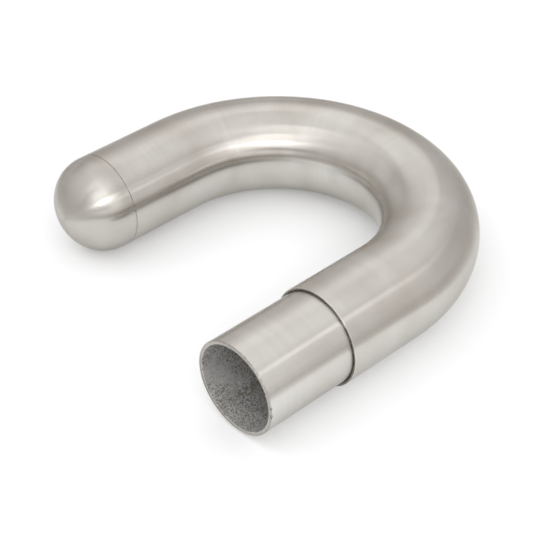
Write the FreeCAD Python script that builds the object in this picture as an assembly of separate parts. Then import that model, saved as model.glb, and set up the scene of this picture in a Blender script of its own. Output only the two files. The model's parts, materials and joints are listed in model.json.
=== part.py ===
import FreeCAD, Part
import math
import os

# Handrail bend: a length of round stainless tube bent through half a turn, with a short straight leg on
# each side. A domed cap plugs and closes one leg. A connecting sleeve is pressed into the other, and the next
# rail slides over it.
# Millimetres. The origin is where the next rail stops: the centre of the sleeve leg's cut end. The sleeve
# points along -X, the legs lie side by side along Y, and the bend's centreline lies in the XY plane.

# Bent tube
tube_diameter = 40.0
tube_wall = 1.0
bend_radius = 61.0  # to the centreline
bend_angle = 180.0  # degrees
sleeve_leg_length = 38.0
cap_leg_length = 38.0
tube_edge_break = 0.2  # the cut ends are deburred inside and out

# Domed end cap
dome_height = 18.2
dome_arcs = 4  # the dome's outline is a quarter of an ellipse, drawn as this many arcs of it
collar_length = 3.0  # straight rim between the seam and the dome
plug_length = 14.0
plug_wall = 1.5
plug_clearance = 0.05
plug_lead_in = 1.0
cap_edge_break = 0.2
recess_point_angle = 118.0  # degrees, of the cone that ends the cap's bored recess

# Connecting sleeve
sleeve_length = 40.0  # the part that stands out for the next rail
sleeve_wall = 1.5
sleeve_clearance = 0.3  # between the sleeve and the bore of a rail slid over it
seat_clearance = 0.05  # between the swelled stretch of the sleeve and the leg that holds it
swell_length = 3.0  # over which the sleeve grows to its seat
sleeve_setback = 3.0  # from the sleeve's hidden end to the start of the bend
sleeve_edge_break = 0.3

# Weld seam inside the sleeve
weld_width = 2.4
weld_height = 0.25
weld_turn = 29.0  # degrees round from the underside, towards the other leg

# What follows from them
tube_radius = tube_diameter / 2
bore_radius = tube_radius - tube_wall
plug_radius = bore_radius - plug_clearance
recess_radius = plug_radius - plug_wall
recess_point_length = recess_radius / math.tan(math.radians(recess_point_angle / 2))
sleeve_radius = bore_radius - sleeve_clearance
sleeve_bore_radius = sleeve_radius - sleeve_wall
seat_radius = bore_radius - seat_clearance
seat_bore_radius = seat_radius - sleeve_wall
sleeve_hidden_length = sleeve_leg_length - sleeve_setback

ORIGIN = FreeCAD.Vector(0, 0, 0)
ALONG = FreeCAD.Vector(1, 0, 0)
UPWARD = FreeCAD.Vector(0, 0, 1)


# Each end of the tube has its own axes: the cut end is at x = 0 and +x points out of the leg.
def end_axes(cut_end, heading):
    return FreeCAD.Placement(cut_end, FreeCAD.Rotation(UPWARD, heading))


def sleeve_end_axes():
    return end_axes(ORIGIN, 180.0)


def cap_end_axes():
    turn = math.radians(bend_angle)
    x = sleeve_leg_length + bend_radius * math.sin(turn) + cap_leg_length * math.cos(turn)
    y = bend_radius - bend_radius * math.cos(turn) + cap_leg_length * math.sin(turn)
    return end_axes(FreeCAD.Vector(x, y, 0), bend_angle)


# Turned forms: an outline of points at x along the axis and radius r from it.
def at(x, r):
    return FreeCAD.Vector(x, r, 0)


def straight_edges(points):
    return [Part.makeLine(start, end) for start, end in zip(points, points[1:])]


def dome_point(turn, reach=1.0):
    return at(collar_length + reach * dome_height * math.sin(turn), reach * tube_radius * math.cos(turn))


# An exact arc of the ellipse: its one middle pole lies where the tangents at its two ends meet.
def dome_arc(start, end):
    half = (end - start) / 2
    curve = Part.BezierCurve()
    curve.setPoles([dome_point(start), dome_point(start + half, 1 / math.cos(half)), dome_point(end)])
    curve.setWeight(2, math.cos(half))
    return curve.toShape()


def turned(edges):
    outline = Part.Wire(Part.sortEdges(edges)[0])
    return Part.Face(outline).revolve(ORIGIN, ALONG, 360)


def tube_leg(length):
    outline = [
        at(-length, bore_radius),
        at(-length, tube_radius),
        at(-tube_edge_break, tube_radius),
        at(0, tube_radius - tube_edge_break),
        at(0, bore_radius + tube_edge_break),
        at(-tube_edge_break, bore_radius),
        at(-length, bore_radius),
    ]
    return turned(straight_edges(outline))


def tube_bend():
    start = FreeCAD.Vector(sleeve_leg_length, 0, 0)
    centre = FreeCAD.Vector(sleeve_leg_length, bend_radius, 0)
    outside = Part.Wire(Part.makeCircle(tube_radius, start, ALONG))
    inside = Part.Wire(Part.makeCircle(bore_radius, start, ALONG))
    section = Part.Face(outside).cut(Part.Face(inside)).Faces[0]
    return section.revolve(centre, UPWARD, bend_angle)


def bend_tube():
    sleeve_leg = tube_leg(sleeve_leg_length)
    sleeve_leg.Placement = sleeve_end_axes()
    cap_leg = tube_leg(cap_leg_length)
    cap_leg.Placement = cap_end_axes()
    return tube_bend().fuse([sleeve_leg, cap_leg]).removeSplitter()


def end_cap():
    collar_end = collar_length
    apex = at(collar_end + dome_height, 0)
    outside = [
        at(-plug_length, recess_radius),
        at(-plug_length, plug_radius - plug_lead_in),
        at(plug_lead_in - plug_length, plug_radius),
        at(0, plug_radius),
        at(0, tube_radius - cap_edge_break),
        at(cap_edge_break, tube_radius),
        at(collar_end, tube_radius),
    ]
    recess = [apex, at(collar_end + recess_point_length, 0), at(collar_end, recess_radius), outside[0]]
    step = math.pi / 2 / dome_arcs
    dome = [dome_arc(i * step, (i + 1) * step) for i in range(dome_arcs)]
    cap = turned(straight_edges(outside) + dome + straight_edges(recess))
    cap.Placement = cap_end_axes()
    return cap


def sleeve_body():
    mouth = sleeve_length
    hidden_end = -sleeve_hidden_length
    outline = [
        at(mouth, sleeve_bore_radius + sleeve_edge_break),
        at(mouth, sleeve_radius - sleeve_edge_break),
        at(mouth - sleeve_edge_break, sleeve_radius),
        at(0, sleeve_radius),
        at(-swell_length, seat_radius),
        at(hidden_end + sleeve_edge_break, seat_radius),
        at(hidden_end, seat_radius - sleeve_edge_break),
        at(hidden_end, seat_bore_radius),
        at(-swell_length, seat_bore_radius),
        at(0, sleeve_bore_radius),
        at(mouth - sleeve_edge_break, sleeve_bore_radius),
        at(mouth, sleeve_bore_radius + sleeve_edge_break),
    ]
    return turned(straight_edges(outline))


# A low round bead along the sleeve's inner wall, cut from a rod and rooted in the middle of the wall. It is
# rolled flat where the sleeve swells.
def weld_seam():
    length = sleeve_length - sleeve_edge_break
    crown_radius = weld_width**2 / (8 * weld_height) + weld_height / 2
    rod_distance = sleeve_bore_radius - weld_height + crown_radius
    turn = math.radians(weld_turn)
    rod_centre = FreeCAD.Vector(0, -rod_distance * math.sin(turn), -rod_distance * math.cos(turn))
    rod = Part.makeCylinder(crown_radius, length, rod_centre, ALONG)
    root = Part.makeCylinder(sleeve_bore_radius + sleeve_wall / 2, length, ORIGIN, ALONG)
    return rod.common(root)


def connecting_sleeve():
    sleeve = sleeve_body().fuse(weld_seam()).removeSplitter()
    sleeve.Placement = sleeve_end_axes()
    return sleeve


pieces = {
    "bend_tube": bend_tube(),
    "end_cap": end_cap(),
    "connecting_sleeve": connecting_sleeve(),
}

os.makedirs("parts", exist_ok=True)
for name, shape in pieces.items():
    solid = shape.Solids[0]
    solid.exportStep(os.path.join("parts", name + ".step"))
    print(name, "solids:", len(shape.Solids), "valid:", shape.isValid(), "mm3:", round(solid.Volume, 1))
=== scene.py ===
import json
import math

import bmesh
import bpy
from mathutils import Matrix, Vector, noise


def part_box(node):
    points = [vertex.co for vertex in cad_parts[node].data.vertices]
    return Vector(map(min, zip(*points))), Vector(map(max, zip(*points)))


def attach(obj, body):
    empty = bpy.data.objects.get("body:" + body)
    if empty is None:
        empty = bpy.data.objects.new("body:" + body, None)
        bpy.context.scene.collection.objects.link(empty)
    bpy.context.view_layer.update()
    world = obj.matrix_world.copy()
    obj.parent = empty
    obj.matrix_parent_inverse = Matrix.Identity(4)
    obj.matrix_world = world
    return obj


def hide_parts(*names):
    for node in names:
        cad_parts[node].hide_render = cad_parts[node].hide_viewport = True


bl_info = {
    "name": "Handrail bend",
    "version": (1, 0, 0),
    "blender": (4, 5, 0),
    "location": "3D View > Sidebar > Handrail bend",
    "description": "Half-turn handrail bend of satin steel tube, with a domed cap and a connecting sleeve",
    "category": "Add Mesh",
}

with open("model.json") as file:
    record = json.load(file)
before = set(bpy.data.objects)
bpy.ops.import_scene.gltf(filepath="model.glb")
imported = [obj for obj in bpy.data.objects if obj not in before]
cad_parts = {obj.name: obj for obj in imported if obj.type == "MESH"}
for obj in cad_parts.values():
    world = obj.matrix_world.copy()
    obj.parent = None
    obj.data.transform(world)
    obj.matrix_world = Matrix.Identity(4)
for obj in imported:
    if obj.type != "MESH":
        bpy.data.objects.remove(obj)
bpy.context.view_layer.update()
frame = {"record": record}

MM = 0.001

# The run is the way along the tube's centreline, in metres from the cut end that holds the sleeve. Each piece
# is turned round the straight run, and the run is then bent.
tube_low, tube_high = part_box("bend_tube")
cap_low, cap_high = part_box("end_cap")
sleeve_low, sleeve_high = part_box("connecting_sleeve")
sleeve_pin = next(mount for mount in frame["record"]["mounts"] if mount["name"] == "rail_sleeve")

TUBE_RADIUS = -tube_low.y
BEND_RADIUS = (tube_high.y - TUBE_RADIUS) / 2
LEG_LENGTH = tube_high.x - BEND_RADIUS - TUBE_RADIUS
SLEEVE_RADIUS = sleeve_pin["dims"]["r_mm"] / 1000
SEAT_RADIUS = sleeve_high.y
CAP_COLLAR = 3.0 * MM

# What a surface is marked with for its finish: a tube's inside, a raw sawn end, and wear, or grime and
# painted shade
MARKS = ("inside", "cut", "wear_and_shade")

# How an outline becomes a mesh: steps round each corner, how far past it the wall's first point stands, as a
# share of the setback, steps along the dome, and how near in metres two points are that become one
CORNER_STEPS = 5
PAST_CORNER = 0.5
DOME_STEPS = 56
MERGE_DISTANCE = 1e-6

# The sleeve's mouth: its nicks, each with its turn from the top in degrees, its width and its depth, and the
# raw stretch of its rim, with its middle and its half width in degrees
RIM_NICKS = ((277.2, 0.6 * MM, 0.25 * MM), (266.8, 0.9 * MM, 0.35 * MM))
RAW_RIM_TURN = 130
RAW_RIM_SPREAD = 85

# The steel: how deep its grinding lines are, between which places on the run it turns darker towards the cap,
# and the tint of what it mirrors at a flat angle
LINE_DEPTH = 0.0003 * MM
DARKER_FROM = 0.13
DARKEST_FROM = 0.26
FLAT_ANGLE_TINT = (0.78, 0.77, 0.75, 1.0)
WHITE = (1.0, 1.0, 1.0)
MILL_FINISH = "Mill finish, inside"

# Each soft lamp: name, azimuth and elevation in degrees, distance in metres, how wide and how tall it looks
# in degrees, its brightness, and whether the steel mirrors it
LAMPS = (
    ("window", -46, 38, 1.5, 52, 34, 0.92, True),
    ("window core", -40, 32, 1.5, 20, 9, 3.0, True),
    ("window head", -60, 66, 1.5, 90, 24, 0.42, True),
    ("window foot", -30, 9, 1.5, 80, 12, 0.4, True),
    ("front patch", -4, 30, 1.5, 34, 32, 0.7, True),
    ("right strip", 90, 50, 1.5, 90, 12, 0.14, True),
    ("right patch", 16.3, 36.4, 0.229, 26, 6.5, 0.56, True),
    ("right foot", 32, 17, 1.5, 64, 30, 0.11, True),
    ("back foot", 148, 10, 1.5, 100, 24, 0.1, True),
    ("back fill", 143, 43, 1.5, 60, 34, 0.2, True),
    ("left fill", -132, 28, 1.5, 76, 28, 0.18, True),
    ("front shadow light", -5, 38, 1.5, 50, 26, 0.32, False),
    ("back shadow light", -140, 50, 1.5, 60, 26, 0.8, False),
)

# Where the lamps point, in metres
LAMPS_AIM = Vector((0.04, BEND_RADIUS, 0))
WATTS_PER_SQUARE_METRE = 4

# The white sheet's edges: which way each one faces, in degrees, and how far it lies from the origin. The fade
# is the width of their soft border. Lengths are in metres.
SHEET_EDGES = ((144, 0.122), (46, 0.315), (-46, 0.117), (-90, 0.106), (-134, 0.091))
SHEET_FADE = 0.045
FLOOR_HALF_WIDTH = 3.0

# How high the room starts to brighten, where nought is the horizon and one is overhead
BRIGHTER_FROM = 0.45

# Where the photo was taken from, found by fitting the part's outlines. The distance and the target are in mm.
CAMERA_AZIMUTH = math.radians(-42.968)
CAMERA_ELEVATION = math.radians(37.234)
CAMERA_ROLL = math.radians(-0.585)
CAMERA_LENS = 101.02
CAMERA_SENSOR = 36.0
CAMERA_DISTANCE = 583.7
CAMERA_TARGET = Vector((20.191, 47.597, -4.350))


# Settings
class HandrailTubeSettings(bpy.types.PropertyGroup):
    radius: bpy.props.FloatProperty(
        name="Tube radius",
        description="Outside radius of the tube",
        default=TUBE_RADIUS,
        unit="LENGTH",
    )
    wall: bpy.props.FloatProperty(
        name="Tube wall",
        description="Thickness of the tube's wall",
        default=1.0 * MM,
        unit="LENGTH",
    )
    bend_radius: bpy.props.FloatProperty(
        name="Bend radius",
        description="From the bend's centre to the centreline",
        default=BEND_RADIUS,
        unit="LENGTH",
    )
    bend_angle: bpy.props.FloatProperty(
        name="Bend angle",
        description="How far round the tube is bent",
        default=math.pi,
        subtype="ANGLE",
    )
    leg: bpy.props.FloatProperty(
        name="Leg length",
        description="Straight tube at each side of the bend",
        default=LEG_LENGTH,
        unit="LENGTH",
    )
    edge_break: bpy.props.FloatProperty(
        name="Edge break",
        description="How much the cut edges are taken off",
        default=0.2 * MM,
        unit="LENGTH",
    )
    sides: bpy.props.IntProperty(name="Sides", description="Faces round the tube", default=192, min=24)


class HandrailCapSettings(bpy.types.PropertyGroup):
    collar: bpy.props.FloatProperty(
        name="Collar",
        description="Straight rim between the seam and the dome",
        default=CAP_COLLAR,
        unit="LENGTH",
    )
    dome: bpy.props.FloatProperty(
        name="Dome height",
        description="How far the dome rises from its collar",
        default=-cap_low.x - CAP_COLLAR,
        unit="LENGTH",
    )
    plug: bpy.props.FloatProperty(
        name="Plug length",
        description="How deep the cap's plug sits in the tube",
        default=cap_high.x,
        unit="LENGTH",
    )
    clearance: bpy.props.FloatProperty(
        name="Plug clearance",
        description="Between the plug and the tube's bore",
        default=0.05 * MM,
        unit="LENGTH",
    )
    wall: bpy.props.FloatProperty(
        name="Plug wall",
        description="Thickness of the plug's wall",
        default=1.5 * MM,
        unit="LENGTH",
    )
    lead_in: bpy.props.FloatProperty(
        name="Lead-in",
        description="Slope at the end of the plug",
        default=1.0 * MM,
        unit="LENGTH",
    )
    point_angle: bpy.props.FloatProperty(
        name="Drill point angle",
        description="Of the cone that ends the cap's recess",
        default=math.radians(118),
        subtype="ANGLE",
    )
    edge_break: bpy.props.FloatProperty(
        name="Edge break",
        description="How much the shoulder's edge is taken off",
        default=0.2 * MM,
        unit="LENGTH",
    )
    sides: bpy.props.IntProperty(name="Sides", description="Faces round the cap", default=192, min=24)


class HandrailSleeveSettings(bpy.types.PropertyGroup):
    radius: bpy.props.FloatProperty(
        name="Sleeve radius",
        description="Outside radius where the next rail slides on",
        default=SLEEVE_RADIUS,
        unit="LENGTH",
    )
    length: bpy.props.FloatProperty(
        name="Sleeve length",
        description="How far the sleeve stands out",
        default=-sleeve_low.x,
        unit="LENGTH",
    )
    hidden: bpy.props.FloatProperty(
        name="Hidden length",
        description="How deep the sleeve sits in its leg",
        default=sleeve_high.x,
        unit="LENGTH",
    )
    wall: bpy.props.FloatProperty(
        name="Sleeve wall",
        description="Thickness of the sleeve's wall",
        default=1.5 * MM,
        unit="LENGTH",
    )
    seat_radius: bpy.props.FloatProperty(
        name="Seat radius",
        description="Outside radius where the sleeve is swelled",
        default=SEAT_RADIUS,
        unit="LENGTH",
    )
    swell: bpy.props.FloatProperty(
        name="Swell",
        description="Length over which the sleeve grows to its seat",
        default=3.0 * MM,
        unit="LENGTH",
    )
    edge_break: bpy.props.FloatProperty(
        name="Edge break",
        description="How much the cut edges are taken off",
        default=0.3 * MM,
        unit="LENGTH",
    )
    weld_turn: bpy.props.FloatProperty(
        name="Weld turn",
        description="Where the weld runs, round from the underside towards the other leg",
        default=math.radians(29),
        subtype="ANGLE",
    )
    weld_width: bpy.props.FloatProperty(
        name="Weld width",
        description="Width of the weld bead in the bore",
        default=2.4 * MM,
        unit="LENGTH",
    )
    weld_height: bpy.props.FloatProperty(
        name="Weld height",
        description="How far the weld bead stands into the bore",
        default=0.25 * MM,
        unit="LENGTH",
    )
    sides: bpy.props.IntProperty(name="Sides", description="Faces round the sleeve", default=512, min=24)


class HandrailFinishSettings(bpy.types.PropertyGroup):
    tube_colour: bpy.props.FloatVectorProperty(
        name="Tube steel",
        description="Colour of the tube's ground steel",
        default=(0.645, 0.631, 0.602),
        size=3,
        subtype="COLOR",
        min=0,
        max=1,
    )
    cap_colour: bpy.props.FloatVectorProperty(
        name="Cap steel",
        description="Colour of the cap's turned steel",
        default=(0.61, 0.597, 0.569),
        size=3,
        subtype="COLOR",
        min=0,
        max=1,
    )
    sleeve_colour: bpy.props.FloatVectorProperty(
        name="Sleeve steel",
        description="Colour of the sleeve's ground steel",
        default=(0.655, 0.642, 0.613),
        size=3,
        subtype="COLOR",
        min=0,
        max=1,
    )
    mill_colour: bpy.props.FloatVectorProperty(
        name="Mill finish",
        description="Colour of the unground steel inside",
        default=(0.565, 0.561, 0.549),
        size=3,
        subtype="COLOR",
        min=0,
        max=1,
    )
    line_width: bpy.props.FloatProperty(
        name="Grinding line width",
        description="Width of the finest grinding lines",
        default=0.25 * MM,
        unit="LENGTH",
    )


class HandrailStageSettings(bpy.types.PropertyGroup):
    floor_colour: bpy.props.FloatVectorProperty(
        name="White sheet",
        description="Colour of the sheet that the part lies on",
        default=(0.785, 0.8, 0.812),
        size=3,
        subtype="COLOR",
        min=0,
        max=1,
    )
    table_colour: bpy.props.FloatVectorProperty(
        name="Table",
        description="Colour of the table round the sheet",
        default=(0.56, 0.545, 0.53),
        size=3,
        subtype="COLOR",
        min=0,
        max=1,
    )
    floor_glow: bpy.props.FloatProperty(
        name="Sheet glow",
        description="Light that the sheet adds to itself where it is seen",
        default=0.165,
    )
    horizon: bpy.props.FloatProperty(
        name="Horizon",
        description="Brightness of the room at eye level",
        default=0.59,
    )
    zenith: bpy.props.FloatProperty(
        name="Zenith",
        description="Brightness of the room overhead",
        default=1.1,
    )
    horizon_colour: bpy.props.FloatVectorProperty(
        name="Horizon colour",
        description="Colour of the room at eye level",
        default=(1.0, 0.953, 0.93),
        size=3,
        subtype="COLOR",
        min=0,
        max=1,
    )
    zenith_colour: bpy.props.FloatVectorProperty(
        name="Zenith colour",
        description="Colour of the room overhead",
        default=(1.0, 0.99, 0.98),
        size=3,
        subtype="COLOR",
        min=0,
        max=1,
    )


# Node trees
class Wiring:
    """Adds nodes to a tree. A value that is a socket is linked, and any other value is set."""

    # The Mix node has sockets for each kind of data, and these are the ones for colours.
    FIRST_COLOUR = 6
    SECOND_COLOUR = 7
    MIXED_COLOUR = 2

    def __init__(self, tree):
        self.tree = tree

    def feed(self, socket, value):
        if isinstance(value, bpy.types.NodeSocket):
            self.tree.links.new(value, socket)
        else:
            socket.default_value = value

    def node(self, kind, feeds=None, **settings):
        made = self.tree.nodes.new(kind)
        for name, value in settings.items():
            setattr(made, name, value)
        for key, value in (feeds or {}).items():
            self.feed(made.inputs[key], value)
        return made

    def calc(self, operation, *values):
        return self.node("ShaderNodeMath", dict(enumerate(values)), operation=operation).outputs[0]

    def remap(self, value, low, high, new_low=0.0, new_high=1.0):
        feeds = {"Value": value, "From Min": low, "From Max": high, "To Min": new_low, "To Max": new_high}
        return self.node("ShaderNodeMapRange", feeds).outputs["Result"]

    def blend(self, amount, first, second, blend_type="MIX"):
        feeds = {"Factor": amount, self.FIRST_COLOUR: first, self.SECOND_COLOUR: second}
        made = self.node("ShaderNodeMix", feeds, data_type="RGBA", blend_type=blend_type)
        return made.outputs[self.MIXED_COLOUR]


def add_sockets(tree, inputs, outputs):
    for name, kind, default in inputs:
        socket = tree.interface.new_socket(name, in_out="INPUT", socket_type=kind)
        if default is not None:
            socket.default_value = default
    for name, kind in outputs:
        tree.interface.new_socket(name, in_out="OUTPUT", socket_type=kind)


def turn_and_bend_tree():
    """Turns an outline round the straight run, then bends the run. Its x is the run and its y the radius."""
    tree = bpy.data.node_groups.new("Turn and bend", "GeometryNodeTree")
    inputs = [
        ("Outline", "NodeSocketGeometry", None),
        ("Sides", "NodeSocketInt", 192),
        ("Straight before the bend", "NodeSocketFloat", LEG_LENGTH),
        ("Bend radius", "NodeSocketFloat", BEND_RADIUS),
        ("Bend angle", "NodeSocketFloat", math.pi),
        ("Outside finish", "NodeSocketMaterial", None),
        ("Inside finish", "NodeSocketMaterial", None),
    ]
    add_sockets(tree, inputs, [("Piece", "NodeSocketGeometry")])
    w = Wiring(tree)
    given = w.node("NodeGroupInput").outputs
    outline = given["Outline"]
    rows = w.node("GeometryNodeAttributeDomainSize", {"Geometry": outline}).outputs["Point Count"]
    columns = w.calc("ADD", given["Sides"], 1)
    grid_feeds = {"Size X": 1.0, "Size Y": 1.0, "Vertices X": rows, "Vertices Y": columns}
    grid = w.node("GeometryNodeMeshGrid", grid_feeds).outputs["Mesh"]
    on_grid = w.node("ShaderNodeSeparateXYZ", {0: w.node("GeometryNodeInputPosition").outputs[0]}).outputs

    # The grid reaches half a unit to each side, so rows count up from its edge and turns start underneath.
    row = w.calc("ROUND", w.calc("MULTIPLY", w.calc("ADD", on_grid["X"], 0.5), w.calc("SUBTRACT", rows, 1)))
    turn = w.calc("MULTIPLY", w.calc("ADD", on_grid["Y"], 1.0), math.tau)

    def from_outline(value, kind):
        feeds = {"Geometry": outline, "Value": value, "Index": row}
        return w.node("GeometryNodeSampleIndex", feeds, data_type=kind, domain="POINT").outputs["Value"]

    def named(name, kind="FLOAT"):
        return w.node("GeometryNodeInputNamedAttribute", {"Name": name}, data_type=kind).outputs["Attribute"]

    def store(geometry, name, value, kind="FLOAT", domain="POINT"):
        feeds = {"Geometry": geometry, "Name": name, "Value": value}
        stored = w.node("GeometryNodeStoreNamedAttribute", feeds, data_type=kind, domain=domain)
        return stored.outputs["Geometry"]

    outline_place = w.node("GeometryNodeInputPosition").outputs[0]
    point = w.node("ShaderNodeSeparateXYZ", {0: from_outline(outline_place, "FLOAT_VECTOR")}).outputs
    across = w.calc("MULTIPLY", point["Y"], w.calc("SINE", turn))
    height = w.calc("MULTIPLY", point["Y"], w.calc("COSINE", turn))
    straight = w.node("ShaderNodeCombineXYZ", {0: point["X"], 1: across, 2: height}).outputs[0]
    girth = w.calc("MULTIPLY", turn, TUBE_RADIUS)
    unrolled = w.node("ShaderNodeCombineXYZ", {0: from_outline(named("reach"), "FLOAT"), 1: girth}).outputs[0]
    mesh = store(grid, "run", straight, "FLOAT_VECTOR")
    for mark in MARKS:
        mesh = store(mesh, mark, from_outline(named(mark), "FLOAT"))
    mesh = store(mesh, "Unrolled", unrolled, "FLOAT2", "CORNER")

    run = w.node("ShaderNodeSeparateXYZ", {0: named("run", "FLOAT_VECTOR")}).outputs
    leg, radius, angle = given["Straight before the bend"], given["Bend radius"], given["Bend angle"]
    past_leg = w.calc("SUBTRACT", run["X"], leg)
    turned = w.calc("MINIMUM", w.calc("MAXIMUM", w.calc("DIVIDE", past_leg, radius), 0.0), angle)
    before = w.calc("MINIMUM", run["X"], leg)
    after = w.calc("MAXIMUM", w.calc("SUBTRACT", past_leg, w.calc("MULTIPLY", radius, angle)), 0.0)
    sine, cosine = w.calc("SINE", turned), w.calc("COSINE", turned)
    centre_x = w.calc("ADD", before, w.calc("MULTIPLY_ADD", after, cosine, w.calc("MULTIPLY", radius, sine)))
    rise = w.calc("SUBTRACT", radius, w.calc("MULTIPLY", radius, cosine))
    centre_y = w.calc("MULTIPLY_ADD", after, sine, rise)
    x = w.calc("SUBTRACT", centre_x, w.calc("MULTIPLY", run["Y"], sine))
    y = w.calc("MULTIPLY_ADD", run["Y"], cosine, centre_y)
    bent = w.node("ShaderNodeCombineXYZ", {0: x, 1: y, 2: run["Z"]}).outputs[0]
    mesh = w.node("GeometryNodeSetPosition", {"Geometry": mesh, "Position": bent}).outputs["Geometry"]
    merging = {"Geometry": mesh, "Distance": MERGE_DISTANCE}
    mesh = w.node("GeometryNodeMergeByDistance", merging).outputs["Geometry"]
    mesh = w.node("GeometryNodeSetShadeSmooth", {"Geometry": mesh}).outputs["Geometry"]
    mesh = w.node("GeometryNodeRealizeInstances", {"Geometry": mesh}).outputs["Geometry"]
    finish = {"Geometry": mesh, "Material": given["Outside finish"]}
    mesh = w.node("GeometryNodeSetMaterial", finish).outputs[0]
    inner = w.calc("GREATER_THAN", named("inside"), 0.5)
    finish = {"Geometry": mesh, "Selection": inner, "Material": given["Inside finish"]}
    mesh = w.node("GeometryNodeSetMaterial", finish).outputs[0]
    w.node("NodeGroupOutput", {"Piece": mesh})
    return tree


# Outlines
def rounded(before, corner, after, setback):
    """A smooth turn from one edge into the next, which starts and ends at the setback from the corner."""
    start = corner + (before - corner).normalized() * setback
    end = corner + (after - corner).normalized() * setback
    turns = [i / CORNER_STEPS for i in range(CORNER_STEPS + 1)]
    return [start.lerp(corner, u).lerp(corner.lerp(end, u), u) for u in turns]


class Outline:
    """What a piece is turned from: points of run and radius. The piece lies to the left of their way."""

    def __init__(self):
        self.corners = []

    def to(self, run, radius, setback=0.0, wear_and_shade=0.0, spacing=None, inside=False, cut=0.0):
        """A corner, taken off by the setback. Its mark is 1 where the edge is rubbed bright, and -1 where it
        holds grime and painted shade, as in a seam or crevice.

        Spacing, inside and cut are for the wall that leads on from it. Cut is how raw a sawn end looks.
        """
        wall = {"inside": float(inside), "cut": float(cut), "spacing": spacing}
        self.corners.append((Vector((run, radius)), setback, wear_and_shade, wall))

    def points(self):
        """Every point of the outline with its marks, in order."""
        made = []
        last = len(self.corners) - 1
        led_in = {"inside": self.corners[0][3]["inside"], "cut": 0.0}
        for i, (corner, setback, wear_and_shade, wall) in enumerate(self.corners):
            before, after = self.corners[max(i - 1, 0)][0], self.corners[min(i + 1, last)][0]
            turn = rounded(before, corner, after, setback) if setback else [corner]
            final_step = max(len(turn) - 1, 1)
            for k, place in enumerate(turn):
                on_inside = led_in["inside"] if k < final_step else 0.0, wall["inside"] if k else 0.0
                cut = max(led_in["cut"] * (1 - k / final_step), wall["cut"] * k / final_step)
                made.append((place, {"inside": max(on_inside), "cut": cut, "wear_and_shade": wear_and_shade}))
            if i == last:
                break
            following, next_setback = self.corners[i + 1][:2]
            way = (following - corner).normalized()
            wall_start = turn[-1] + way * setback * PAST_CORNER
            wall_end = following - way * next_setback * (1 + PAST_CORNER)
            pieces = max(1, round((wall_end - wall_start).length / wall["spacing"])) if wall["spacing"] else 1
            stops = [wall_start.lerp(wall_end, k / pieces) for k in range(pieces + 1)]
            first = 0 if setback else 1
            final = len(stops) if next_setback else len(stops) - 1
            marks = {"inside": wall["inside"], "cut": wall["cut"], "wear_and_shade": 0.0}
            made += [(place, marks) for place in stops[first:final]]
            led_in = wall
        return made

    def mesh(self, name):
        points = self.points()
        mesh = bpy.data.meshes.new(name)
        places = [(place.x, place.y, 0) for place, _ in points]
        mesh.from_pydata(places, [(i, i + 1) for i in range(len(places) - 1)], [])
        reach = [0.0]
        for (first, _), (second, _) in zip(points, points[1:]):
            reach.append(reach[-1] + (second - first).length)
        mesh.attributes.new("reach", "FLOAT", "POINT").data.foreach_set("value", reach)
        for key in MARKS:
            values = [marks[key] for _, marks in points]
            mesh.attributes.new(key, "FLOAT", "POINT").data.foreach_set("value", values)
        return mesh


def shared(name, make):
    return bpy.data.node_groups.get(name) or make()


def turn_and_bend(name, outline, sides, outside, inside):
    """A finished piece: the outline turned round the run and bent with the tube, as a plain mesh."""
    tube = bpy.context.scene.handrail_tube
    source = bpy.data.objects.new(name + "_outline", outline.mesh(name + "_outline"))
    bpy.context.scene.collection.objects.link(source)
    modifier = source.modifiers.new("Turn and bend", "NODES")
    modifier.node_group = shared("Turn and bend", turn_and_bend_tree)
    values = {
        "Sides": sides,
        "Straight before the bend": tube.leg,
        "Bend radius": tube.bend_radius,
        "Bend angle": tube.bend_angle,
        "Outside finish": outside,
        "Inside finish": inside,
    }
    for item in modifier.node_group.interface.items_tree:
        if item.in_out == "INPUT" and item.name in values:
            modifier[item.identifier] = values[item.name]
    bpy.context.view_layer.update()
    depsgraph = bpy.context.evaluated_depsgraph_get()
    evaluated = source.evaluated_get(depsgraph)
    mesh = bpy.data.meshes.new_from_object(evaluated, preserve_all_data_layers=True, depsgraph=depsgraph)
    source.modifiers.remove(modifier)
    bpy.data.objects.remove(source)
    mesh.name = name
    piece = bpy.data.objects.new(name, mesh)
    bpy.context.scene.collection.objects.link(piece)
    return piece


def hand_over(piece, node):
    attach(piece, "root")
    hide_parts(node)


def run_length(tube):
    return 2 * tube.leg + tube.bend_radius * tube.bend_angle


def tube_outline(tube):
    end = run_length(tube)
    bore = tube.radius - tube.wall
    outline = Outline()
    outline.to(end / 2, bore, inside=True, spacing=2.5 * MM)
    outline.to(0, bore, tube.edge_break, wear_and_shade=-1, cut=1)
    outline.to(0, tube.radius, tube.edge_break, wear_and_shade=0.8, spacing=1.5 * MM)
    outline.to(end, tube.radius, tube.edge_break, wear_and_shade=-0.65)
    outline.to(end, bore, tube.edge_break, wear_and_shade=-1, inside=True, spacing=2.5 * MM)
    outline.to(end / 2, bore, inside=True)
    return outline


def cap_outline(cap, tube):
    seam = run_length(tube)
    bore = tube.radius - tube.wall
    plug = bore - cap.clearance
    recess = plug - cap.wall
    collar_end = seam + cap.collar
    outline = Outline()
    outline.to(collar_end + recess / math.tan(cap.point_angle / 2), 0, inside=True, spacing=1.5 * MM)
    outline.to(collar_end, recess, inside=True, spacing=1.5 * MM)
    outline.to(seam - cap.plug, recess)
    outline.to(seam - cap.plug, plug - cap.lead_in)
    outline.to(seam - cap.plug + cap.lead_in, plug, spacing=1.5 * MM)
    outline.to(seam, plug, wear_and_shade=-1)
    outline.to(seam, tube.radius, cap.edge_break, wear_and_shade=-0.65, spacing=0.5 * MM)
    for step in range(DOME_STEPS):
        angle = math.pi / 2 * step / DOME_STEPS
        outline.to(collar_end + cap.dome * math.sin(angle), tube.radius * math.cos(angle))
    outline.to(collar_end + cap.dome, 0)
    return outline


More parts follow.
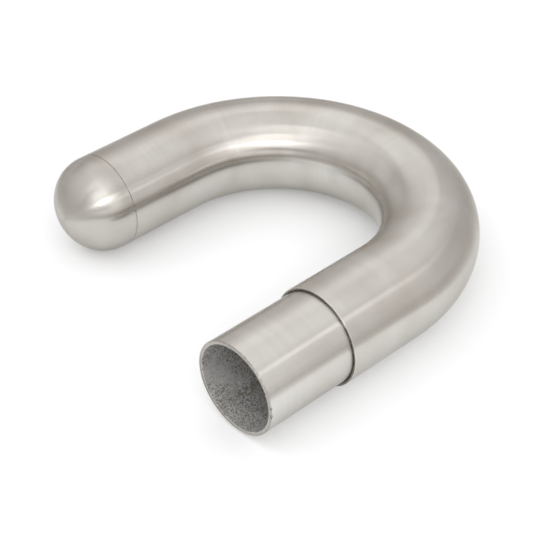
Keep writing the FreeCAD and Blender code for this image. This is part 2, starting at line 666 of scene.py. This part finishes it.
def sleeve_outline(sleeve):
    bore = sleeve.radius - sleeve.wall
    seat_bore = sleeve.seat_radius - sleeve.wall
    middle = -sleeve.length / 2
    finely_meshed = 1.5 * MM
    outline = Outline()
    outline.to(middle, bore, inside=True, spacing=0.6 * MM)
    outline.to(-sleeve.length, bore, sleeve.edge_break, wear_and_shade=0.5, cut=0.5)
    outline.to(-sleeve.length, sleeve.radius, sleeve.edge_break, wear_and_shade=-0.5, spacing=0.3 * MM)
    outline.to(finely_meshed - sleeve.length, sleeve.radius, spacing=4 * MM)
    outline.to(0, sleeve.radius, spacing=1 * MM)
    outline.to(sleeve.swell, sleeve.seat_radius, spacing=4 * MM)
    outline.to(sleeve.hidden, sleeve.seat_radius, sleeve.edge_break)
    outline.to(sleeve.hidden, seat_bore, inside=True, spacing=2 * MM)
    outline.to(sleeve.swell, seat_bore, inside=True, spacing=1 * MM)
    outline.to(0, bore, inside=True, spacing=0.6 * MM)
    outline.to(middle, bore, inside=True)
    return outline


# Small forms in a finished mesh
def raise_weld(mesh, sleeve):
    """Stands the weld bead up from the bore. It waves a little, and is rolled flat by the sleeve's swell."""
    waver, wavers_per_metre, waver_seed = 0.12 * MM, 300, 7
    lap_length, mean_lap, lap_rise = 0.9 * MM, 0.85, 0.15
    unevenness, lumps_per_metre, lump_seed = 0.25, 700, 3
    rolled_length = 2 * MM
    bore = sleeve.radius - sleeve.wall
    half = sleeve.weld_width / 2
    inside = mesh.attributes["inside"].data
    run = mesh.attributes["run"].data
    weld = [0.0] * len(mesh.vertices)
    for vertex in mesh.vertices:
        if inside[vertex.index].value < 0.5:
            continue
        x, y, z = run[vertex.index].vector
        away = math.atan2(y, -z) - sleeve.weld_turn
        aside = away * bore + waver * noise.noise((x * wavers_per_metre, 0, waver_seed))
        weld[vertex.index] = max(0.0, 1 - abs(aside) / sleeve.weld_width)
        if abs(aside) > half or x > 0:
            continue
        lap = mean_lap + lap_rise * math.cos(x / lap_length * math.tau)
        lap += unevenness * noise.noise((x * lumps_per_metre, lump_seed, 0))
        crown = sleeve.weld_height * (1 - (aside / half) ** 2) * lap * min(1, -x / rolled_length)
        radius = math.hypot(y, z)
        scale = (radius - crown) / radius
        vertex.co.y *= scale
        vertex.co.z *= scale
    mesh.attributes.new("weld", "FLOAT", "POINT").data.foreach_set("value", weld)


def nick(mesh, sleeve, turn, width, depth):
    """A small dent in the mouth's outer rim, darkened as grime and painted shade. Turns go from the top
    towards the other leg.
    """
    along, inwards = 0.8, 0.6
    middle = Vector((-sleeve.length, sleeve.radius * math.sin(turn), sleeve.radius * math.cos(turn)))
    push = Vector((along, -math.sin(turn) * inwards, -math.cos(turn) * inwards))
    wear_and_shade = mesh.attributes["wear_and_shade"].data
    for vertex in mesh.vertices:
        away = (vertex.co - middle).length
        if away < width:
            vertex.co += push * depth * (1 - (away / width) ** 2)
            wear_and_shade[vertex.index].value = -1.0


def dull_rim(mesh, sleeve, turn, spread):
    """Leaves the mouth's rim raw where the saw came out, at a turn from the top towards the other leg."""
    cut = mesh.attributes["cut"].data
    wear_and_shade = mesh.attributes["wear_and_shade"].data
    rim = -sleeve.length + sleeve.edge_break
    for vertex in mesh.vertices:
        x, y, z = vertex.co
        if x > rim:
            continue
        away = abs(math.remainder(math.atan2(y, z) - turn, math.tau))
        raw = max(0.0, 1 - (away / spread) ** 2)
        cut[vertex.index].value = max(cut[vertex.index].value, raw)
        wear_and_shade[vertex.index].value *= 1 - raw


# Finishes
def grinding_lines_group():
    """Fine lines round the run, as a belt leaves them: height for the bump and shade for the colour."""
    tree = bpy.data.node_groups.new("Grinding lines", "ShaderNodeTree")
    inputs = [
        ("Run", "NodeSocketVector", None),
        ("Lines per metre", "NodeSocketFloat", 4000.0),
        ("Stretch", "NodeSocketFloat", 40.0),
    ]
    add_sockets(tree, inputs, [("Height", "NodeSocketFloat"), ("Shade", "NodeSocketFloat")])
    w = Wiring(tree)
    given = w.node("NodeGroupInput").outputs
    along = given["Lines per metre"]
    round_about = w.calc("DIVIDE", along, given["Stretch"])
    scale = w.node("ShaderNodeCombineXYZ", {0: along, 1: round_about, 2: round_about}).outputs[0]
    stretched = w.node("ShaderNodeVectorMath", {0: given["Run"], 1: scale}, operation="MULTIPLY").outputs[0]
    fine = w.node("ShaderNodeTexNoise", {"Vector": stretched, "Scale": 1.0, "Detail": 3.0, "Roughness": 0.65})
    coarse_feeds = {"Vector": stretched, "Scale": 0.11, "Detail": 4.0, "Roughness": 0.6}
    coarse = w.node("ShaderNodeTexNoise", coarse_feeds)
    coarse_in_height, fine_in_shade = 0.25, 0.4
    height = w.calc("MULTIPLY_ADD", coarse.outputs[0], coarse_in_height, fine.outputs[0])
    both = w.calc("ADD", coarse.outputs[0], w.calc("MULTIPLY", fine.outputs[0], fine_in_shade))
    shade = w.remap(both, 0.5, 0.9)
    w.node("NodeGroupOutput", {"Height": height, "Shade": shade})
    return tree


def cloudy_patches_group():
    """Soft uneven patches where a hand-held belt has dwelt."""
    tree = bpy.data.node_groups.new("Cloudy patches", "ShaderNodeTree")
    inputs = [("Run", "NodeSocketVector", None), ("Patch size", "NodeSocketFloat", 0.02)]
    add_sockets(tree, inputs, [("Mask", "NodeSocketFloat")])
    w = Wiring(tree)
    given = w.node("NodeGroupInput").outputs
    scale = w.calc("DIVIDE", 1.0, given["Patch size"])
    feeds = {"Vector": given["Run"], "Scale": scale, "Detail": 1.5, "Roughness": 0.5, "Distortion": 0.3}
    clouds = w.node("ShaderNodeTexNoise", feeds).outputs[0]
    w.node("NodeGroupOutput", {"Mask": w.remap(clouds, 0.3, 0.7)})
    return tree


def edge_marks_group():
    """Edges rubbed bright, with breaks in them, and seams and crevices darkened with grime and painted shade.
    """
    tree = bpy.data.node_groups.new("Edge marks", "ShaderNodeTree")
    inputs = [("Run", "NodeSocketVector", None), ("Wear and shade", "NodeSocketFloat", 0.0)]
    add_sockets(tree, inputs, [("Rubbed", "NodeSocketFloat"), ("Painted shade and grime", "NodeSocketFloat")])
    w = Wiring(tree)
    given = w.node("NodeGroupInput").outputs
    feeds = {"Vector": given["Run"], "Scale": 700.0, "Detail": 2.0}
    breaks = w.remap(w.node("ShaderNodeTexNoise", feeds).outputs[0], 0.35, 0.6, 0.35, 1.0)
    rubbed = w.calc("MULTIPLY", w.remap(given["Wear and shade"], 0.05, 1.0), breaks)
    painted_shade_and_grime = w.calc("MULTIPLY", w.remap(given["Wear and shade"], -0.05, -1.0), breaks)
    w.node("NodeGroupOutput", {"Rubbed": rubbed, "Painted shade and grime": painted_shade_and_grime})
    return tree


def named_attribute(w, name, output):
    return w.node("ShaderNodeAttribute", attribute_name=name).outputs[output]


def group_node(w, name, make, feeds):
    return w.node("ShaderNodeGroup", feeds, node_tree=shared(name, make)).outputs


def start_material(name):
    material = bpy.data.materials.new(name)
    material.use_nodes = True
    material.node_tree.nodes.clear()
    return material, Wiring(material.node_tree)


def tinted(colour, factor, warmth=0.0):
    """A darker or lighter copy of a colour, made browner by the warmth."""
    red, green, blue = (min(c * factor, 1.0) for c in colour)
    return (red, green * (1 - warmth * 0.5), blue * (1 - warmth), 1.0)


def ground_steel(name, colour, roughness, patch_size):
    """Satin steel with grinding lines round the run. Its highlights draw out along the tube."""
    material, w = start_material(name)
    lines_per_metre = 1 / bpy.context.scene.handrail_finish.line_width
    run = named_attribute(w, "run", "Vector")
    line_feeds = {"Run": run, "Lines per metre": lines_per_metre}
    lines = group_node(w, "Grinding lines", grinding_lines_group, line_feeds)
    patch_feeds = {"Run": run, "Patch size": patch_size}
    patches = group_node(w, "Cloudy patches", cloudy_patches_group, patch_feeds)["Mask"]
    wear_and_shade = named_attribute(w, "wear_and_shade", "Fac")
    marks = group_node(w, "Edge marks", edge_marks_group, {"Run": run, "Wear and shade": wear_and_shade})
    along = w.node("ShaderNodeSeparateXYZ", {0: run}).outputs["X"]
    darker_towards_cap = w.remap(along, DARKER_FROM, DARKEST_FROM)
    cut = named_attribute(w, "cut", "Fac")
    shade = w.blend(lines["Shade"], tinted(colour, 1.01), tinted(colour, 1.055))
    shade = w.blend(patches, shade, tinted(colour, 0.9, warmth=0.05))
    # The steel is made darker from part way round the bend to the cap, and over the cap
    shade = w.blend(darker_towards_cap, shade, tinted(WHITE, 0.92, warmth=0.015), "MULTIPLY")
    shade = w.blend(cut, shade, tinted(colour, 0.5, warmth=0.16))
    shade = w.blend(marks["Rubbed"], shade, tinted(colour, 1.25))
    # Grime and painted shade darken the seam by the cap, the crevice by the sleeve, and the sleeve's rim and
    # nicks
    shade = w.blend(marks["Painted shade and grime"], shade, tinted(colour, 0.3, warmth=0.2))
    rough = w.remap(lines["Shade"], 0.0, 1.0, roughness + 0.01, roughness - 0.01)
    rough = w.calc("MULTIPLY_ADD", patches, 0.01, rough)
    rough = w.calc("MULTIPLY_ADD", cut, 0.15, rough)
    bump_feeds = {"Strength": 1.0, "Distance": LINE_DEPTH, "Height": lines["Height"]}
    normal = w.node("ShaderNodeBump", bump_feeds).outputs[0]
    tangent = w.node("ShaderNodeTangent", direction_type="UV_MAP", uv_map="Unrolled").outputs[0]
    shader_feeds = {
        "Base Color": shade,
        "Metallic": 1.0,
        "Roughness": rough,
        "Specular Tint": FLAT_ANGLE_TINT,
        "Anisotropic": 1.0,
        "Tangent": tangent,
        "Normal": normal,
    }
    shader = w.node("ShaderNodeBsdfPrincipled", shader_feeds).outputs[0]
    w.node("ShaderNodeOutputMaterial", {"Surface": shader})
    return material


def mill_finish():
    """The unground inside of a welded tube: dull mottled grey, pitted, and brown along the weld."""
    material, w = start_material(MILL_FINISH)
    colour = bpy.context.scene.handrail_finish.mill_colour
    run = named_attribute(w, "run", "Vector")

    def speckle(scale, detail, low, high):
        feeds = {"Vector": run, "Scale": scale, "Detail": detail, "Roughness": 0.65}
        return w.remap(w.node("ShaderNodeTexNoise", feeds).outputs[0], low, high)

    # Each has its scale per metre, its detail, and the range of the noise that becomes nought to one.
    mottle = speckle(160.0, 4.0, 0.3, 0.7)
    grain = speckle(900.0, 3.0, 0.35, 0.65)
    pits = speckle(1700.0, 1.0, 0.48, 0.6)
    pitted_areas = speckle(110.0, 1.0, 0.28, 0.5)
    stains = speckle(200.0, 3.0, 0.55, 0.68)
    weld = w.remap(named_attribute(w, "weld", "Fac"), 0.35, 0.9)
    weld = w.calc("MULTIPLY", weld, speckle(420.0, 3.0, 0.42, 0.62))
    wear_and_shade = named_attribute(w, "wear_and_shade", "Fac")
    marks = group_node(w, "Edge marks", edge_marks_group, {"Run": run, "Wear and shade": wear_and_shade})
    pitting = w.calc("MULTIPLY", pits, pitted_areas)

    # Each layer has its mask, how strongly it covers what is under it, its tint and its warmth.
    layers = (
        (grain, 0.5, 1.5, 0.0),
        (pitting, 0.85, 0.28, 0.0),
        (stains, 0.4, 0.65, 0.22),
        (weld, 0.8, 0.5, 0.45),
        # This layer is grime and painted shade in the crevice and seams
        (marks["Painted shade and grime"], 1.0, 0.15, 0.2),
    )
    shade = w.blend(mottle, tinted(colour, 0.8), tinted(colour, 1.15))
    for mask, strength, factor, warmth in layers:
        shade = w.blend(w.calc("MULTIPLY", mask, strength), shade, tinted(colour, factor, warmth))
    height = w.calc("SUBTRACT", w.calc("MULTIPLY", grain, 0.5), pitting)
    bump_feeds = {"Strength": 1.0, "Distance": 0.05 * MM, "Height": height}
    normal = w.node("ShaderNodeBump", bump_feeds).outputs[0]
    shader_feeds = {
        "Base Color": shade,
        "Metallic": 0.6,
        "Roughness": w.remap(grain, 0.0, 1.0, 0.6, 0.5),
        "Normal": normal,
    }
    shader = w.node("ShaderNodeBsdfPrincipled", shader_feeds).outputs[0]
    w.node("ShaderNodeOutputMaterial", {"Surface": shader})
    return material


def inside_finish():
    return bpy.data.materials.get(MILL_FINISH) or mill_finish()


# Pieces
class HANDRAIL_OT_bent_tube(bpy.types.Operator):
    """Turns the tube's outline and bends it through its half turn"""

    bl_idname = "handrail.bent_tube"
    bl_label = "Bent tube"

    def execute(self, context):
        scene = context.scene
        colour = scene.handrail_finish.tube_colour
        finish = ground_steel("Ground steel, tube", colour, roughness=0.25, patch_size=0.02)
        outline = tube_outline(scene.handrail_tube)
        tube = turn_and_bend("bent_tube", outline, scene.handrail_tube.sides, finish, inside_finish())
        hand_over(tube, "bend_tube")
        return {"FINISHED"}


class HANDRAIL_OT_domed_cap(bpy.types.Operator):
    """Turns the domed cap with its shoulder, plug and bored recess"""

    bl_idname = "handrail.domed_cap"
    bl_label = "Domed cap"

    def execute(self, context):
        scene = context.scene
        colour = scene.handrail_finish.cap_colour
        finish = ground_steel("Turned steel, cap", colour, roughness=0.25, patch_size=0.02)
        outline = cap_outline(scene.handrail_cap, scene.handrail_tube)
        cap = turn_and_bend("domed_cap", outline, scene.handrail_cap.sides, finish, inside_finish())
        hand_over(cap, "end_cap")
        return {"FINISHED"}


class HANDRAIL_OT_rail_sleeve(bpy.types.Operator):
    """Turns the connecting sleeve, raises the weld bead in its bore and nicks its rim"""

    bl_idname = "handrail.rail_sleeve"
    bl_label = "Rail sleeve"

    def execute(self, context):
        scene = context.scene
        settings = scene.handrail_sleeve
        colour = scene.handrail_finish.sleeve_colour
        finish = ground_steel("Ground steel, sleeve", colour, roughness=0.24, patch_size=0.03)
        outline = sleeve_outline(settings)
        sleeve = turn_and_bend("rail_sleeve", outline, settings.sides, finish, inside_finish())
        raise_weld(sleeve.data, settings)
        dull_rim(sleeve.data, settings, math.radians(RAW_RIM_TURN), math.radians(RAW_RIM_SPREAD))
        for turn, width, depth in RIM_NICKS:
            nick(sleeve.data, settings, math.radians(turn), width, depth)
        hand_over(sleeve, "connecting_sleeve")
        return {"FINISHED"}


# Stage
def softbox(name, azimuth, elevation, distance, wide, tall, brightness, mirrored):
    """A soft lamp that faces the middle of the bend. Its place and its spread are turns seen from there."""
    around, up = math.radians(azimuth), math.radians(elevation)
    towards = Vector((math.sin(around) * math.cos(up), -math.cos(around) * math.cos(up), math.sin(up)))
    data = bpy.data.lights.new(name, "AREA")
    data.shape = "RECTANGLE"
    data.size = 2 * distance * math.tan(math.radians(wide / 2)) * math.cos(up)
    data.size_y = 2 * distance * math.tan(math.radians(tall / 2))
    data.energy = brightness * data.size * data.size_y * WATTS_PER_SQUARE_METRE
    lamp = bpy.data.objects.new(name, data)
    facing = towards.to_track_quat("Z", "Y").to_matrix().to_4x4()
    lamp.matrix_world = Matrix.Translation(LAMPS_AIM + towards * distance) @ facing
    lamp.visible_camera = False
    lamp.visible_glossy = mirrored
    bpy.context.scene.collection.objects.link(lamp)


def seen_or_mirrored(w):
    """One where a camera ray, or a ray off metal or through glass, sees the surface, and otherwise nought."""
    path = w.node("ShaderNodeLightPath").outputs
    seen = w.calc("MAXIMUM", path["Is Camera Ray"], path["Is Glossy Ray"])
    return w.calc("MAXIMUM", seen, path["Is Transmission Ray"])


def floor_material(stage):
    """A white sheet on a light grey table. The sheet's edge is soft."""
    material, w = start_material("Pale floor")
    place = w.node("ShaderNodeTexCoord").outputs["Object"]
    past_edges = []
    for facing, distance in SHEET_EDGES:
        outward = (math.cos(math.radians(facing)), math.sin(math.radians(facing)), 0.0)
        reach = w.node("ShaderNodeVectorMath", {0: place, 1: outward}, operation="DOT_PRODUCT")
        past_edges.append(w.calc("SUBTRACT", reach.outputs["Value"], distance))
    furthest = past_edges[0]
    for past_edge in past_edges[1:]:
        furthest = w.calc("MAXIMUM", furthest, past_edge)
    sheet = w.remap(furthest, 0.0, SHEET_FADE, 1.0, 0.0)
    colour = w.blend(sheet, (*stage.table_colour, 1.0), (*stage.floor_colour, 1.0))
    glow = w.calc("MULTIPLY", w.calc("MULTIPLY", seen_or_mirrored(w), sheet), stage.floor_glow)
    feeds = {
        "Base Color": colour,
        "Roughness": 0.9,
        "Specular IOR Level": 0.1,
        "Emission Color": (1.0, 1.0, 1.0, 1.0),
        "Emission Strength": glow,
    }
    shader = w.node("ShaderNodeBsdfPrincipled", feeds).outputs[0]
    w.node("ShaderNodeOutputMaterial", {"Surface": shader})
    return material


def lay_floor(stage):
    mesh = bpy.data.meshes.new("floor")
    grid = bmesh.new()
    bmesh.ops.create_grid(grid, x_segments=1, y_segments=1, size=FLOOR_HALF_WIDTH)
    bmesh.ops.translate(grid, verts=grid.verts, vec=(0, 0, -TUBE_RADIUS))
    grid.to_mesh(mesh)
    grid.free()
    floor = bpy.data.objects.new("floor", mesh)
    mesh.materials.append(floor_material(stage))
    bpy.context.scene.collection.objects.link(floor)


def light_world(stage):
    """A plain room that brightens from the horizon to overhead."""
    world = bpy.data.worlds.new("Soft room")
    world.use_nodes = True
    world.node_tree.nodes.clear()
    w = Wiring(world.node_tree)
    towards = w.node("ShaderNodeTexCoord").outputs["Generated"]
    up = w.node("ShaderNodeSeparateXYZ", {0: towards}).outputs["Z"]
    ramp_feeds = {"Value": up, "From Min": BRIGHTER_FROM, "From Max": 1.0}
    height = w.node("ShaderNodeMapRange", ramp_feeds, interpolation_type="SMOOTHSTEP").outputs["Result"]
    strength = w.remap(height, 0.0, 1.0, stage.horizon, stage.zenith)
    colour = w.blend(height, (*stage.horizon_colour, 1.0), (*stage.zenith_colour, 1.0))
    background = w.node("ShaderNodeBackground", {"Color": colour, "Strength": strength})
    w.node("ShaderNodeOutputWorld", {"Surface": background.outputs[0]})
    bpy.context.scene.world = world


def place_camera():
    data = bpy.data.cameras.new("camera")
    data.sensor_width = CAMERA_SENSOR
    data.lens = CAMERA_LENS
    data.clip_start = 0.01
    data.clip_end = 20.0
    camera = bpy.data.objects.new("camera", data)
    around = (math.cos(CAMERA_AZIMUTH), math.sin(CAMERA_AZIMUTH))
    flat = math.cos(CAMERA_ELEVATION)
    back = Vector((around[1] * flat, -around[0] * flat, math.sin(CAMERA_ELEVATION)))
    level = Vector((*around, 0))
    right = level * math.cos(CAMERA_ROLL) + back.cross(level) * math.sin(CAMERA_ROLL)
    up = back.cross(right)
    place = CAMERA_TARGET * MM + back * CAMERA_DISTANCE * MM
    turned = Matrix((right, up, back)).transposed().to_4x4()
    camera.matrix_world = Matrix.Translation(place) @ turned
    bpy.context.scene.collection.objects.link(camera)
    bpy.context.scene.camera = camera


class HANDRAIL_OT_stage(bpy.types.Operator):
    """Lays the floor, lights the room and places the camera"""

    bl_idname = "handrail.stage"
    bl_label = "Stage"

    def execute(self, context):
        scene = context.scene
        scene.view_settings.view_transform = "Standard"
        lay_floor(scene.handrail_stage)
        light_world(scene.handrail_stage)
        for lamp in LAMPS:
            softbox(*lamp)
        place_camera()
        return {"FINISHED"}


# Panel and registering
class HANDRAIL_PT_panel(bpy.types.Panel):
    """Makes the handrail bend, piece by piece"""

    bl_label = "Handrail bend"
    bl_idname = "HANDRAIL_PT_panel"
    bl_space_type = "VIEW_3D"
    bl_region_type = "UI"
    bl_category = "Handrail bend"

    def draw(self, context):
        groups = (
            (HANDRAIL_OT_bent_tube, "handrail_tube"),
            (HANDRAIL_OT_domed_cap, "handrail_cap"),
            (HANDRAIL_OT_rail_sleeve, "handrail_sleeve"),
            (HANDRAIL_OT_stage, "handrail_stage"),
        )
        for operator, settings in groups:
            box = self.layout.box()
            box.operator(operator.bl_idname)
            for name in SETTINGS[settings].__annotations__:
                box.prop(getattr(context.scene, settings), name)
        box = self.layout.box()
        for name in HandrailFinishSettings.__annotations__:
            box.prop(context.scene.handrail_finish, name)


SETTINGS = {
    "handrail_tube": HandrailTubeSettings,
    "handrail_cap": HandrailCapSettings,
    "handrail_sleeve": HandrailSleeveSettings,
    "handrail_finish": HandrailFinishSettings,
    "handrail_stage": HandrailStageSettings,
}
OPERATORS = (HANDRAIL_OT_bent_tube, HANDRAIL_OT_domed_cap, HANDRAIL_OT_rail_sleeve, HANDRAIL_OT_stage)


def register():
    for name, group in SETTINGS.items():
        bpy.utils.register_class(group)
        setattr(bpy.types.Scene, name, bpy.props.PointerProperty(type=group))
    for shown in (*OPERATORS, HANDRAIL_PT_panel):
        bpy.utils.register_class(shown)


def unregister():
    for shown in (HANDRAIL_PT_panel, *reversed(OPERATORS)):
        bpy.utils.unregister_class(shown)
    for name, group in reversed(SETTINGS.items()):
        delattr(bpy.types.Scene, name)
        bpy.utils.unregister_class(group)


def main():
    register()
    bpy.ops.handrail.bent_tube()
    bpy.ops.handrail.domed_cap()
    bpy.ops.handrail.rail_sleeve()
    bpy.ops.handrail.stage()


if __name__ == "__main__":
    main()
